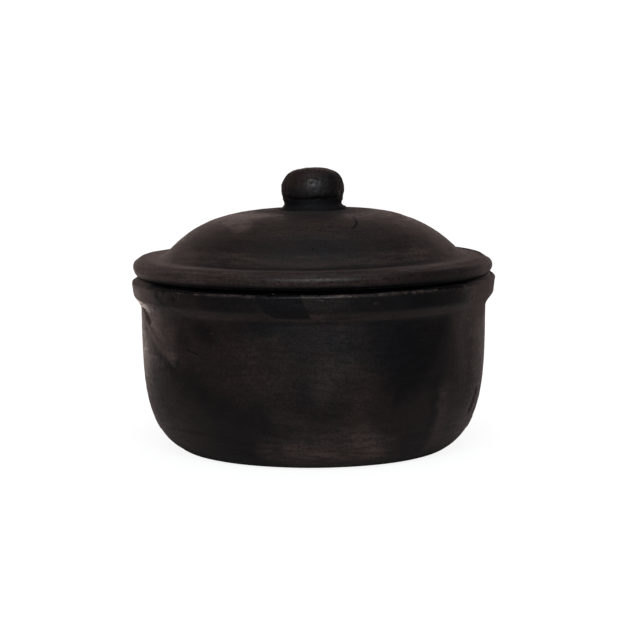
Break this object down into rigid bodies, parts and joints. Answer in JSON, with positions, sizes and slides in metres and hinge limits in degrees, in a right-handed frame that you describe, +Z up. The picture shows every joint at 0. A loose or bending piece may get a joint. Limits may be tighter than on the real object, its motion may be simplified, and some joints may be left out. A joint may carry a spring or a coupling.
{
  "type": "lidded clay pot",
  "caption": "Squat round cooking pot of burnished black clay: flat-footed bowl with a flared rim collar, and a loose domed lid with a flat flange and a mushroom knob.",
  "frame": {"origin": "centre of the flat foot, on the surface that the pot stands on", "axes": "+Z up along the pot's axis of revolution, through the lid's knob; X and Y are any two directions across the pot"},
  "size_m": [0.22, 0.22, 0.1705],
  "materials": {
    "burnished_clay": "burnished by hand, satin, smoke-blackened with brown clouds",
    "plain_clay": "wiped smooth, matt, smoke-blackened"
  },
  "bodies": {
    "pot": {"bowl": "burnished_clay", "rim_collar": "burnished_clay"},
    "lid": {"lid_shell": "burnished_clay", "lid_locating_ring": "plain_clay", "lid_knob": "burnished_clay"}
  },
  "joints": [
    {"name": "lid_lift", "type": "slide", "parent": "pot", "child": "lid", "axis": [0, 0, 1], "range_m": [0, 0.15]}
  ]
}
